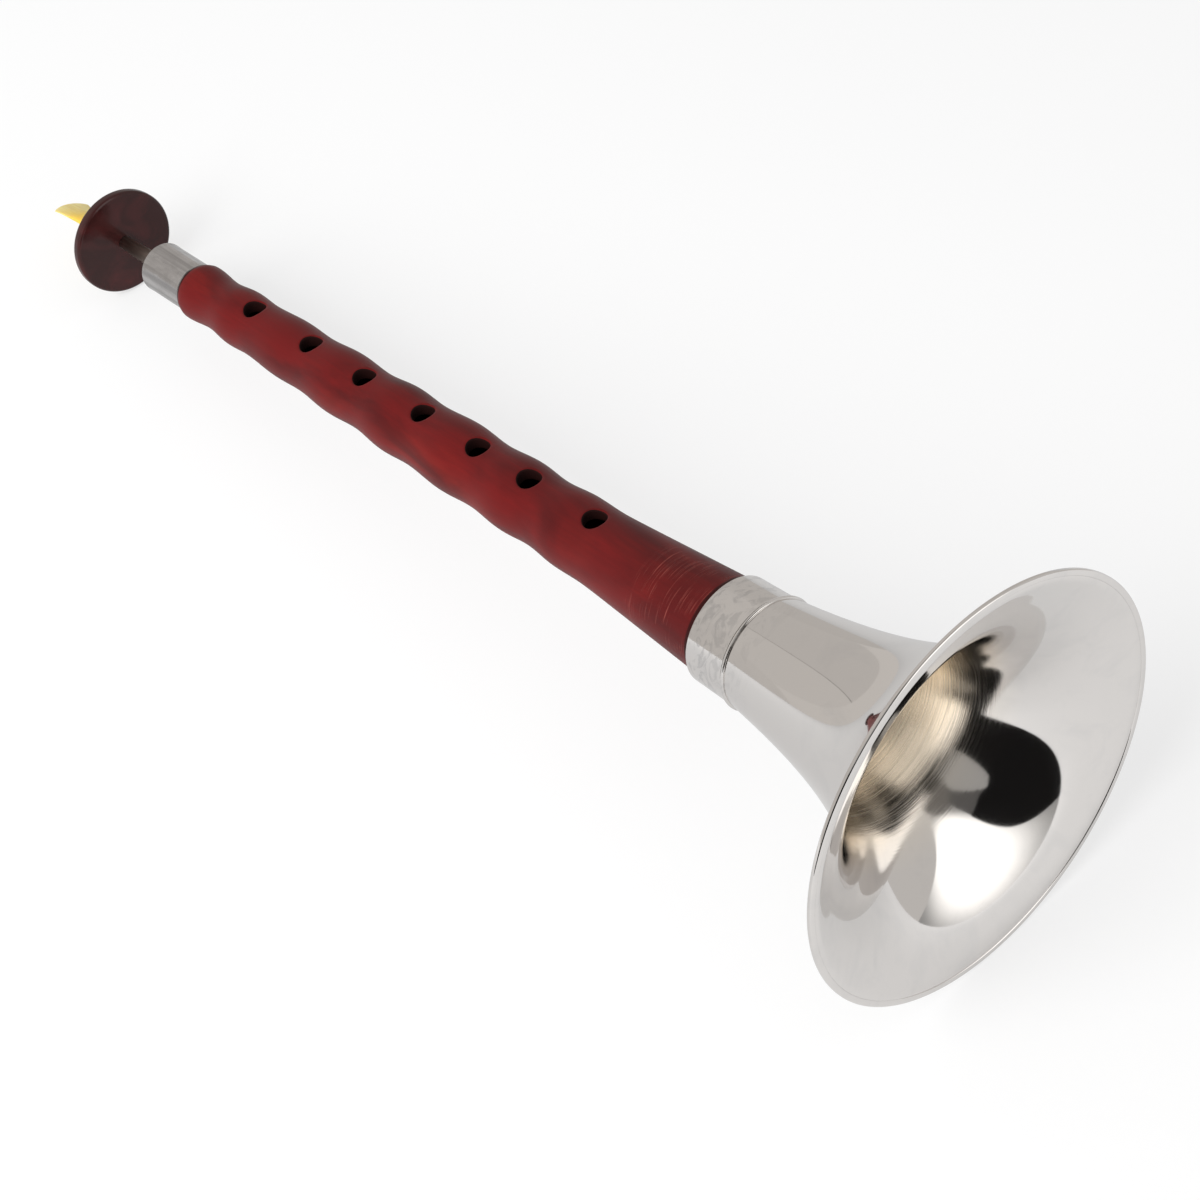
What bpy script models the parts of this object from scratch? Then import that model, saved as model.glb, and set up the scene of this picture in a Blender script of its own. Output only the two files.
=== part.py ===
# A suona: a conical double-reed horn, lying on a flat surface on the edges of its bell and its lip disc.
# Every piece lies on one axis. A station is a distance along that axis from the plane of the bell's
# mouth, towards the reed. Lengths are in metres and angles in radians.

import bpy
import bmesh
from math import asin, atan2, cos, hypot, pi, radians, sin, sqrt

# Fits
seat_gap = 0.0003               # between pieces that touch on the real instrument
slide_room = 0.0004             # left between the lip disc and the reed when the disc is pushed up
disc_travel = 0.0040            # how far the lip disc slides up the staple

# Bell
mouth_radius = 0.0620
neck_radius = 0.0168            # outer radius where the flare meets the bead
flare_length = 0.0774           # mouth to bead
flare_exponent = 0.62           # how suddenly the horn opens
sheet_thickness = 0.0006
rim_width = 0.0019
rim_depth = 0.0013
rim_rounding = 0.0004
bead_width = 0.0010
bead_height = 0.0004            # how far the bead stands proud of the sheet
sleeve_length = 0.0148          # bead to the open end of the sleeve
sleeve_radius = 0.01645         # outer radius at the open end

# Pipe
pipe_length = 0.2858            # foot to the shoulder that the ferrule stands on
foot_tenon_length = 0.0290
foot_tenon_step = 0.0010        # cone between the tenon and the visible wood
foot_shoulder_radius = 0.0150
foot_winding_thickness = 0.00105
foot_winding_length = 0.0180
foot_winding_setback = 0.0060   # from the sleeve's open end
foot_winding_ridges = 7
winding_groove = 0.0002
head_radius = 0.0090            # wood at the ferrule's edge
head_rounding = 0.0004
bore_foot_radius = 0.0098
flank_softness = 0.07           # how gently the last waist runs into the straight flank
finger_hole_radius = 0.0035
thumb_hole_radius = 0.0034

# Distances from the ferrule's shoulder towards the bell
pipe_swells = ((0.0030, 0.00974), (0.0270, 0.00981), (0.0540, 0.01015), (0.0820, 0.01072),
               (0.1110, 0.01119), (0.1395, 0.01153), (0.1680, 0.01166), (0.1935, 0.01186))
pipe_waists = ((0.0150, 0.00878), (0.0365, 0.00933), (0.0660, 0.00972), (0.0960, 0.01001),
               (0.1230, 0.01057), (0.1535, 0.01071), (0.1800, 0.01092), (0.2030, 0.01170))
finger_holes = (0.0363, 0.0673, 0.0952, 0.1247, 0.1509, 0.1745, 0.2033)
thumb_hole = 0.0515

# Ferrule
ferrule_length = 0.0211
ferrule_radius = 0.00855
ferrule_lip_radius = 0.00866    # slightly spread at the reed end
ferrule_wall = 0.0006
ferrule_lip_length = 0.0024

# Staple
staple_length = 0.0745
staple_foot_radius = 0.0039
staple_tip_radius = 0.0019
staple_wall = 0.0005
staple_depth = 0.0354           # length that sits below the ferrule's end
socket_radius = 0.0049
socket_depth = 0.0330           # from the ferrule's end
staple_winding_length = 0.0240
staple_winding_setback = 0.0040  # from the ferrule's end
staple_winding_ridges = 8

# Lip disc
disc_radius = 0.01847
disc_thickness = 0.0038
disc_rounding = 0.0012

# Reed
reed_length = 0.0286
reed_root_wall = 0.0007
reed_root_length = 0.0072       # round part that holds the staple's tip
reed_overlap = 0.0071           # length of the staple's tip inside the reed
reed_tip_width = 0.0136
reed_tip_thickness = 0.0017
reed_blade = 0.0005             # cane thickness at the tip
reed_width_exponent = 0.85      # below 1 the sides fan out early
reed_thickness_exponent = 0.7   # below 1 the blades flatten early
reed_turn = radians(-67.6)      # how the flat of the reed is turned from the finger holes
binding_wire_radius = 0.00025
binding_turns = 5
binding_pitch = 0.0009
binding_setback = 0.0012        # from the reed's root

# Facets. An odd count of sides puts a flat facet, and not a corner, underneath.
bell_sides = 45
disc_sides = 45
pipe_sides = 30
tube_sides = 20
hole_sides = 16
reed_sides = 20
flare_steps = 11
wave_steps = 2
flank_steps = 5
rounding_steps = 2
reed_steps = 7
wire_points_per_turn = 10

# Stations that follow from the sizes above
sleeve_end = flare_length + sleeve_length
pipe_foot = sleeve_end - foot_tenon_length - foot_tenon_step
pipe_shoulder = pipe_foot + pipe_length
ferrule_foot = pipe_shoulder + seat_gap
ferrule_end = ferrule_foot + ferrule_length
pipe_head = ferrule_end - ferrule_wall - seat_gap
staple_foot = ferrule_end - staple_depth
staple_tip = staple_foot + staple_length
reed_root = staple_tip - reed_overlap
reed_tip = reed_root + reed_length
disc_upper_face = reed_root - slide_room - disc_travel
disc_lower_face = disc_upper_face - disc_thickness

# Radii that follow from the sizes above
sleeve_bore = sleeve_radius - sheet_thickness
foot_winding_radius = sleeve_bore - seat_gap
foot_tenon_radius = foot_winding_radius - foot_winding_thickness - seat_gap
head_tenon_radius = ferrule_radius - ferrule_wall - seat_gap
flare_origin = flare_length / ((mouth_radius / neck_radius) ** (1 / flare_exponent) - 1)


def clear_scene():
    for item in list(bpy.data.objects):
        bpy.data.objects.remove(item, do_unlink=True)


def new_collection(name):
    group = bpy.data.collections.new(name)
    bpy.context.scene.collection.children.link(group)
    return group


def new_material(name, colour, roughness, metallic=0.0):
    material = bpy.data.materials.new(name)
    material.use_nodes = True
    shader = material.node_tree.nodes["Principled BSDF"]
    shader.inputs["Base Color"].default_value = (*colour, 1.0)
    shader.inputs["Roughness"].default_value = roughness
    shader.inputs["Metallic"].default_value = metallic
    return material


def new_object(name, mesh, seat, parent, material):
    piece = bpy.data.objects.new(name, mesh)
    parts.objects.link(piece)
    piece.location = (0.0, 0.0, seat)
    piece.parent = parent
    mesh.materials.append(material)
    return piece


def new_axis(name, parent):
    axis = bpy.data.objects.new(name, None)
    axis.empty_display_size = 0.02
    parts.objects.link(axis)
    axis.parent = parent
    return axis


# A turned piece. The outline is a closed loop of (radius, station) points that runs down the outer
# side, from the reed end to the bell end, and back up the inner side.
def turned(name, outline, sides, parent, material):
    seat = min(station for radius, station in outline)
    points = [(radius, 0.0, station - seat) for radius, station in outline]
    edges = [(index, (index + 1) % len(points)) for index in range(len(points))]
    mesh = bpy.data.meshes.new(name)
    mesh.from_pydata(points, edges, [])
    piece = new_object(name, mesh, seat, parent, material)
    turn = piece.modifiers.new("Turn", "SCREW")
    turn.axis = "Z"
    turn.angle = 2 * pi
    turn.steps = sides
    turn.render_steps = sides
    turn.use_merge_vertices = True
    turn.merge_threshold = 0.00001
    turn.use_smooth_shade = True
    return piece


def rounded_corner(radius, station, rounding, start, end):
    # Points of a quarter circle about (radius, station), from one angle to the other
    points = []
    for step in range(rounding_steps + 1):
        angle = start + (end - start) * step / rounding_steps
        points.append((radius + rounding * cos(angle), station + rounding * sin(angle)))
    return points


def smooth_step(fraction):
    return (1 - cos(pi * fraction)) / 2


def flare_station(radius):
    return flare_origin * ((mouth_radius / radius) ** (1 / flare_exponent) - 1)


def flare_slope(radius):
    # Change of station for each unit of radius, a negative number
    return -(flare_station(radius) + flare_origin) / (flare_exponent * radius)


def staple_radius(station):
    fraction = (station - staple_foot) / staple_length
    return staple_foot_radius + (staple_tip_radius - staple_foot_radius) * fraction


def make_flare(parent):
    # The horn's outer side is R = mouth * (a / (station + a)) ** exponent
    edge_radius = mouth_radius - rim_width - seat_gap
    neck_station = flare_length - bead_width / 2 - seat_gap
    outer = []
    inner = []
    for step in range(flare_steps + 1):
        radius = neck_radius * (edge_radius / neck_radius) ** (step / flare_steps)
        slope = flare_slope(radius)
        length = hypot(1.0, slope)
        station = flare_station(radius)
        if step == 0:
            station = neck_station
        outer.append((radius, station))
        inner.append((radius + sheet_thickness * slope / length, station - sheet_thickness / length))
    inner[0] = (neck_radius - sheet_thickness, neck_station)
    outline = outer + inner[::-1]
    return turned("bell_flare", outline, bell_sides, parent, nickel)


def make_rim(parent):
    outer = mouth_radius - rim_rounding
    inner = mouth_radius - rim_width + rim_rounding
    back = rim_depth - rim_rounding
    front = rim_rounding
    outline = rounded_corner(outer, back, rim_rounding, pi / 2, 0.0)
    outline += rounded_corner(outer, front, rim_rounding, 0.0, -pi / 2)
    outline += rounded_corner(inner, front, rim_rounding, -pi / 2, -pi)
    outline += rounded_corner(inner, back, rim_rounding, pi, pi / 2)
    return turned("bell_rim", outline, bell_sides, parent, nickel)


def make_bead(parent):
    upper = flare_length + bead_width / 2
    lower = flare_length - bead_width / 2
    inner = neck_radius - sheet_thickness
    outline = [(inner, upper), (neck_radius, upper)]
    for step in range(1, rounding_steps + 1):
        angle = pi * step / (rounding_steps + 1)
        outline.append((neck_radius + bead_height * sin(angle), flare_length + bead_width / 2 * cos(angle)))
    outline += [(neck_radius, lower), (inner, lower)]
    return turned("bell_bead", outline, bell_sides, parent, nickel)


def make_sleeve(parent):
    lower = flare_length + bead_width / 2 + seat_gap
    outline = [
        (sleeve_bore, sleeve_end),
        (sleeve_radius, sleeve_end),
        (neck_radius, lower),
        (neck_radius - sheet_thickness, lower),
    ]
    return turned("bell_sleeve", outline, bell_sides, parent, nickel)


def wood_outline():
    # The turned side of the wood, from the ferrule's shoulder to the foot's tenon
    extremes = [(0.0, head_radius)] + sorted(pipe_swells + pipe_waists)
    outline = [(head_radius - head_rounding, pipe_shoulder)]
    outline.append((head_radius, pipe_shoulder - head_rounding))
    for (start, start_radius), (end, end_radius) in zip(extremes, extremes[1:]):
        for step in range(1, wave_steps + 1):
            fraction = step / wave_steps
            distance = start + (end - start) * fraction
            radius = start_radius + (end_radius - start_radius) * smooth_step(fraction)
            outline.append((radius, pipe_shoulder - distance))
    last, last_radius = extremes[-1]
    flank_top = pipe_shoulder - last
    flank_foot = sleeve_end
    full_rise = sqrt(1 + flank_softness ** 2) - flank_softness
    for step in range(1, flank_steps + 1):
        fraction = step / flank_steps
        rise = (sqrt(fraction ** 2 + flank_softness ** 2) - flank_softness) / full_rise
        radius = last_radius + (foot_shoulder_radius - last_radius) * rise
        outline.append((radius, flank_top + (flank_foot - flank_top) * fraction))
    return outline


def make_pipe(parent):
    socket_floor = ferrule_end - socket_depth
    outline = [(socket_radius, pipe_head), (head_tenon_radius, pipe_head)]
    outline.append((head_tenon_radius, pipe_shoulder))
    outline += wood_outline()
    outline.append((foot_tenon_radius, sleeve_end - foot_tenon_step))
    outline.append((foot_tenon_radius, pipe_foot))
    outline.append((bore_foot_radius, pipe_foot))
    outline.append((socket_radius, socket_floor))
    pipe = turned("pipe", outline, pipe_sides, parent, wood)
    holes = [(distance, finger_hole_radius, 1) for distance in finger_holes]
    holes.append((thumb_hole, thumb_hole_radius, -1))
    drill_length = 2 * foot_shoulder_radius
    for distance, radius, side in holes:
        bpy.ops.mesh.primitive_cylinder_add(vertices=hole_sides, radius=radius, depth=drill_length)
        drill = bpy.context.object
        drill.name = "drill"
        for group in list(drill.users_collection):
            group.objects.unlink(drill)
        drills.objects.link(drill)
        drill.rotation_euler = (0.0, pi / 2, 0.0)
        drill.location = (side * drill_length / 2, 0.0, pipe_shoulder - distance)
        drill.parent = parent
        drill.hide_render = True
        drill.display_type = "WIRE"
    cut = pipe.modifiers.new("Drilled holes", "BOOLEAN")
    cut.operation = "DIFFERENCE"
    cut.operand_type = "COLLECTION"
    cut.collection = drills
    cut.solver = "EXACT"
    return pipe


def ridged_band(outer_at, inner_at, upper, lower, turns, groove):
    # Outline of a wound band: one shallow ridge for each turn of thread
    outline = [(inner_at(upper), upper)]
    pitch = (upper - lower) / turns
    for turn_index in range(turns):
        top = upper - pitch * turn_index
        outline.append((outer_at(top) - groove, top))
        outline.append((outer_at(top - pitch / 2), top - pitch / 2))
    outline.append((outer_at(lower) - groove, lower))
    outline.append((inner_at(lower), lower))
    return outline


def make_foot_winding(parent):
    upper = sleeve_end - foot_winding_setback
    lower = upper - foot_winding_length
    outline = ridged_band(
        lambda station: foot_winding_radius,
        lambda station: foot_tenon_radius + seat_gap,
        upper, lower, foot_winding_ridges, winding_groove)
    return turned("foot_winding", outline, pipe_sides, parent, thread)


def make_ferrule(parent):
    lip = socket_radius + seat_gap
    inner = ferrule_radius - ferrule_wall
    outline = [
        (lip, ferrule_end),
        (ferrule_lip_radius, ferrule_end),
        (ferrule_radius, ferrule_end - ferrule_lip_length),
        (ferrule_radius, ferrule_foot),
        (inner, ferrule_foot),
        (inner, ferrule_end - ferrule_wall),
        (lip, ferrule_end - ferrule_wall),
    ]
    return turned("ferrule", outline, pipe_sides, parent, steel)


def make_staple(parent):
    outline = [
        (staple_tip_radius - staple_wall, staple_tip),
        (staple_tip_radius, staple_tip),
        (staple_foot_radius, staple_foot),
        (staple_foot_radius - staple_wall, staple_foot),
    ]
    return turned("staple", outline, tube_sides, parent, steel)


def make_staple_winding(parent):
    upper = ferrule_end - staple_winding_setback
    lower = upper - staple_winding_length
    outline = ridged_band(
        lambda station: socket_radius - seat_gap,
        lambda station: staple_radius(station) + seat_gap,
        upper, lower, staple_winding_ridges, winding_groove)
    return turned("staple_winding", outline, tube_sides, parent, thread)


def make_lip_disc(parent):
    hole = staple_radius(disc_lower_face) + seat_gap
    outer = disc_radius - disc_rounding
    outline = [(hole, disc_upper_face)]
    outline += rounded_corner(outer, disc_upper_face - disc_rounding, disc_rounding, pi / 2, 0.0)
    outline += rounded_corner(outer, disc_lower_face + disc_rounding, disc_rounding, 0.0, -pi / 2)
    outline.append((hole, disc_lower_face))
    return turned("lip_disc", outline, disc_sides, parent, dark_plastic)


def reed_section(fraction):
    # Half width, half thickness and cane thickness of the reed, at a fraction of the way to its tip
    root = staple_radius(reed_root) + seat_gap + reed_root_wall
    fan = max(0.0, (fraction * reed_length - reed_root_length) / (reed_length - reed_root_length))
    half_width = root + (reed_tip_width / 2 - root) * fan ** reed_width_exponent
    half_thickness = root + (reed_tip_thickness / 2 - root) * smooth_step(fan ** reed_thickness_exponent)
    cane = reed_root_wall + (reed_blade - reed_root_wall) * fan
    return half_width, half_thickness, cane


# The reed is a loft from a round root to a flat, open tip, which no modifier makes.
def make_reed(parent):
    mesh = bpy.data.meshes.new("reed")
    shape = bmesh.new()
    outer_rings = []
    inner_rings = []
    root_share = reed_root_length / reed_length
    stations = [0.0]
    for step in range(reed_steps + 1):
        stations.append(root_share + (1 - root_share) * step / reed_steps)
    for fraction in stations:
        half_width, half_thickness, cane = reed_section(fraction)
        outer = []
        inner = []
        height = fraction * reed_length
        for side in range(reed_sides):
            across = cos(2 * pi * side / reed_sides)
            up = sin(2 * pi * side / reed_sides)
            outer.append(shape.verts.new((half_width * across, half_thickness * up, height)))
            inner.append(shape.verts.new(
                ((half_width - cane) * across, (half_thickness - cane) * up, height)))
        outer_rings.append(outer)
        inner_rings.append(inner)
    for side in range(reed_sides):
        following = (side + 1) % reed_sides
        for lower, upper in zip(outer_rings, outer_rings[1:]):
            shape.faces.new((lower[side], lower[following], upper[following], upper[side]))
        for lower, upper in zip(inner_rings, inner_rings[1:]):
            shape.faces.new((lower[following], lower[side], upper[side], upper[following]))
        root_outer, root_inner = outer_rings[0], inner_rings[0]
        tip_outer, tip_inner = outer_rings[-1], inner_rings[-1]
        shape.faces.new((root_outer[following], root_outer[side], root_inner[side], root_inner[following]))
        shape.faces.new((tip_outer[side], tip_outer[following], tip_inner[following], tip_inner[side]))
    shape.to_mesh(mesh)
    shape.free()
    mesh.shade_smooth()
    mesh.set_sharp_from_angle(angle=radians(40))
    reed = new_object("reed", mesh, reed_root, parent, cane_skin)
    reed.rotation_euler = (0.0, 0.0, reed_turn)
    return reed


def make_reed_binding(parent):
    # Wire wound round the reed's root in an open coil
    radius = reed_section(0.0)[0] + seat_gap + binding_wire_radius
    count = binding_turns * wire_points_per_turn + 1
    curve = bpy.data.curves.new("reed_binding", "CURVE")
    curve.dimensions = "3D"
    curve.bevel_depth = binding_wire_radius
    curve.bevel_resolution = 1
    curve.use_fill_caps = True
    spline = curve.splines.new("POLY")
    spline.points.add(count - 1)
    for index, point in enumerate(spline.points):
        turn_count = index / wire_points_per_turn
        angle = 2 * pi * turn_count
        point.co = (radius * cos(angle), radius * sin(angle), binding_pitch * turn_count, 1.0)
    return new_object("reed_binding", curve, reed_root + binding_setback, parent, brass_wire)


def lay_down(axis):
    # Turns the axis so that the bell's rim and the lip disc's edge both touch the surface,
    # and puts the origin under the middle of the whole length
    bell_flat = cos(pi / bell_sides)
    disc_flat = cos(pi / disc_sides)
    rim_centre = (mouth_radius - rim_rounding) * bell_flat
    disc_centre = (disc_radius - disc_rounding) * disc_flat
    rim_station = rim_depth - rim_rounding
    disc_station = disc_upper_face - disc_rounding
    along = disc_station - rim_station
    drop = rim_centre - disc_centre
    tilt = atan2(drop, along) + asin((rim_rounding - disc_rounding) / hypot(along, drop))
    height = rim_rounding + rim_station * sin(tilt) + rim_centre * cos(tilt)
    front = rim_rounding - rim_rounding * cos(tilt) + rim_centre * sin(tilt)
    back = reed_tip * cos(tilt) + reed_tip_width / 2 * cos(reed_turn) * sin(tilt)
    axis.rotation_euler = (0.0, -(pi / 2 + tilt), 0.0)
    axis.location = ((back - front) / 2, 0.0, height)


clear_scene()
parts = new_collection("suona")
drills = new_collection("suona_drills")

nickel = new_material("polished nickel", (0.74, 0.71, 0.69), 0.12, 1.0)
steel = new_material("satin steel", (0.58, 0.57, 0.56), 0.34, 1.0)
wood = new_material("red wood", (0.30, 0.025, 0.025), 0.45)
thread = new_material("waxed thread", (0.62, 0.52, 0.36), 0.85)
dark_plastic = new_material("dark plastic", (0.085, 0.026, 0.028), 0.18)
cane_skin = new_material("cane", (0.86, 0.62, 0.16), 0.5)
brass_wire = new_material("brass wire", (0.72, 0.48, 0.20), 0.3, 1.0)

instrument_axis = new_axis("instrument_axis", None)
bell_axis = new_axis("bell_axis", instrument_axis)
staple_axis = new_axis("staple_axis", instrument_axis)
disc_axis = new_axis("disc_axis", staple_axis)
reed_axis = new_axis("reed_axis", staple_axis)

make_pipe(instrument_axis)
make_foot_winding(instrument_axis)
make_ferrule(instrument_axis)
make_sleeve(bell_axis)
make_bead(bell_axis)
make_flare(bell_axis)
make_rim(bell_axis)
make_staple(staple_axis)
make_staple_winding(staple_axis)
make_lip_disc(disc_axis)
make_reed(reed_axis)
make_reed_binding(reed_axis)
lay_down(instrument_axis)
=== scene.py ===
import bpy
from math import atan2, cos, hypot, pi, radians, sin, sqrt
from mathutils import Euler, Matrix, Vector


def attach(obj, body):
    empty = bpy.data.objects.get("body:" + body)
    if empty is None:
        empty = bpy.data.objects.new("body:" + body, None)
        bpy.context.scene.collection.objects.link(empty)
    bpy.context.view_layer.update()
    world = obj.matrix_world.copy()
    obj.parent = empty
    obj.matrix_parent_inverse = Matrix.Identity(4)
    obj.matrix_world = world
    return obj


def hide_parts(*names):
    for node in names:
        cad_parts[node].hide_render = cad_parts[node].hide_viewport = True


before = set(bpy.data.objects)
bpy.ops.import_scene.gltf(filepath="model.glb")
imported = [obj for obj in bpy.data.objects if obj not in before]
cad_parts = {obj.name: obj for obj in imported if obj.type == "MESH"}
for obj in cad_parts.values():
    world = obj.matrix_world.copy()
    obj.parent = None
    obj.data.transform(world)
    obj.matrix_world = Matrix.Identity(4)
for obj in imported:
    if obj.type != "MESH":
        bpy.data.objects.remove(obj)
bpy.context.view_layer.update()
print("frame loaded:", len(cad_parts), "nodes")

# How the instrument lies: its axis runs through the middle of the bell's mouth.
# A station is a distance along the axis from the mouth towards the reed, in metres.
# In the axis's own space Z runs towards the reed and X points to the side of the finger holes.
lay = dict(mouthCentre=(0.210495, 0.0, 0.061580), tilt=radians(6.2742))
axisMatrix = Matrix.LocRotScale(
    Vector(lay["mouthCentre"]), Euler((0.0, -(pi / 2 + lay["tilt"]), 0.0)), None)
snug = 0.9975  # round pieces stay inside the flats of the faceted solids


# Shader helpers

def newMaterial(name, colour=(0.8, 0.8, 0.8), roughness=0.5, metallic=0.0):
    material = bpy.data.materials.new(name)
    material.use_nodes = True
    shader = material.node_tree.nodes["Principled BSDF"]
    shader.inputs["Base Color"].default_value = (*colour, 1.0)
    shader.inputs["Roughness"].default_value = roughness
    shader.inputs["Metallic"].default_value = metallic
    return material, material.node_tree, shader


def addNode(tree, kind, inputs=None, **settings):
    node = tree.nodes.new(kind)
    for key, value in settings.items():
        setattr(node, key, value)
    for key, value in (inputs or {}).items():
        if isinstance(value, bpy.types.NodeSocket):
            tree.links.new(value, node.inputs[key])
        else:
            node.inputs[key].default_value = value
    return node


def calc(tree, operation, *values):
    node = addNode(tree, "ShaderNodeMath", operation=operation)
    for index, value in enumerate(values):
        if isinstance(value, bpy.types.NodeSocket):
            tree.links.new(value, node.inputs[index])
        else:
            node.inputs[index].default_value = value
    return node.outputs[0]


def ramp(tree, factor, stops):
    # Colour ramp; a stop is (position, grey) or (position, (r, g, b))
    node = addNode(tree, "ShaderNodeValToRGB", {"Fac": factor})
    elements = node.color_ramp.elements
    while len(elements) < len(stops):
        elements.new(0.5)
    for element, (position, colour) in zip(elements, stops):
        element.position = position
        element.color = (*colour, 1.0) if isinstance(colour, tuple) else (colour, colour, colour, 1.0)
    return node.outputs["Color"]


def blendColours(tree, factor, first, second):
    node = addNode(tree, "ShaderNodeMix", data_type="RGBA")
    for index, value in ((0, factor), (6, first), (7, second)):
        if isinstance(value, bpy.types.NodeSocket):
            tree.links.new(value, node.inputs[index])
        elif index == 0:
            node.inputs[index].default_value = value
        else:
            node.inputs[index].default_value = (*value, 1.0)
    return node.outputs[2]


def axisSpace(tree):
    # The place in the axis's own space at rest
    worldPlace = addNode(tree, "ShaderNodeTexCoord").outputs["Object"]
    return addNode(tree, "ShaderNodeMapping", {
        "Vector": worldPlace, "Location": axisMatrix.to_translation(),
        "Rotation": axisMatrix.to_euler()}, vector_type="TEXTURE").outputs[0]


def splitPlace(tree, place):
    return addNode(tree, "ShaderNodeSeparateXYZ", {"Vector": place}).outputs


def squareRootOfSquares(tree, first, second):
    squares = [calc(tree, "MULTIPLY", value, value) for value in (first, second)]
    return calc(tree, "SQRT", calc(tree, "ADD", *squares))


def mapRange(tree, value, low, high):
    # 0 where the value is low, 1 where it is high, and held there beyond
    return addNode(tree, "ShaderNodeMapRange", {"Value": value, "From Min": low, "From Max": high}).outputs[0]


def stretched(tree, place, across, along):
    # Coordinates scaled one way round the axis and another way along it
    return addNode(tree, "ShaderNodeMapping", {"Vector": place, "Scale": (across, across, along)}).outputs[0]


def noise(tree, vector, scale=1.0, detail=2.0, roughness=0.5, distortion=0.0):
    return addNode(tree, "ShaderNodeTexNoise", {
        "Vector": vector, "Scale": scale, "Detail": detail,
        "Roughness": roughness, "Distortion": distortion}).outputs["Fac"]


def addBump(tree, shader, height, distance, strength=1.0, under=None):
    inputs = {"Height": height, "Distance": distance, "Strength": strength}
    if under is not None:
        inputs["Normal"] = under
    bump = addNode(tree, "ShaderNodeBump", inputs)
    tree.links.new(bump.outputs[0], shader.inputs["Normal"])
    return bump.outputs[0]


# Mesh helpers

def makePiece(name, points, faces, materials, faceMaterial=None, sharpAngle=35.0):
    mesh = bpy.data.meshes.new(name)
    mesh.from_pydata(points, [], faces)
    for material in materials:
        mesh.materials.append(material)
    if faceMaterial:
        mesh.polygons.foreach_set("material_index", faceMaterial)
    mesh.shade_smooth()
    mesh.set_sharp_from_angle(angle=radians(sharpAngle))
    mesh.validate()
    mesh.transform(axisMatrix)
    piece = bpy.data.objects.new(name, mesh)
    bpy.context.scene.collection.objects.link(piece)
    return piece


def turnPiece(name, outline, sides, materials, materialAt=None):
    # outline: closed loop of (radius, station)
    points = []
    faces = []
    faceMaterial = []
    count = len(outline)
    for radius, station in outline:
        for side in range(sides):
            angle = 2 * pi * side / sides
            points.append((radius * cos(angle), radius * sin(angle), station))
    for ring in range(count):
        following = (ring + 1) % count
        for side in range(sides):
            across = (side + 1) % sides
            faces.append((ring * sides + side, ring * sides + across,
                          following * sides + across, following * sides + side))
            faceMaterial.append(materialAt(ring) if materialAt else 0)
    return makePiece(name, points, faces, materials, faceMaterial)


def roundedCorner(radius, station, rounding, start, end, steps=6):
    points = []
    for step in range(steps + 1):
        angle = start + (end - start) * step / steps
        points.append((radius + rounding * cos(angle), station + rounding * sin(angle)))
    return points


def smoothStep(fraction):
    return (1 - cos(pi * fraction)) / 2


def between(start, end, steps):
    # Points after start, up to and including end
    return [(start[0] + (end[0] - start[0]) * step / steps, start[1] + (end[1] - start[1]) * step / steps)
            for step in range(1, steps + 1)]


def dressNode(piece, body, slot, *nodes):
    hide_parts(*nodes)
    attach(piece, body)
    return piece


# Polished nickel of the bell

nickelLook = dict(
    colour=(0.74, 0.715, 0.695), roughness=0.05, smudgeRoughness=0.025,
    smudgeColour=(0.70, 0.68, 0.665), throatColour=(0.86, 0.79, 0.69), throatRoughness=0.10,
    scratchRoughness=0.16, throatFrom=0.017, throatTo=0.034, deepFrom=0.038, deepTo=0.060,
    deepRoughness=0.16, lineDepth=0.000004, outerDepth=0.3, throatDepth=6.5,
    lineAcross=30.0, lineAlong=1800.0,
    stainFrom=0.066, stainTo=0.086, stainColour=(0.40, 0.395, 0.40), stainAmount=0.42, stainRoughness=0.12)


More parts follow.
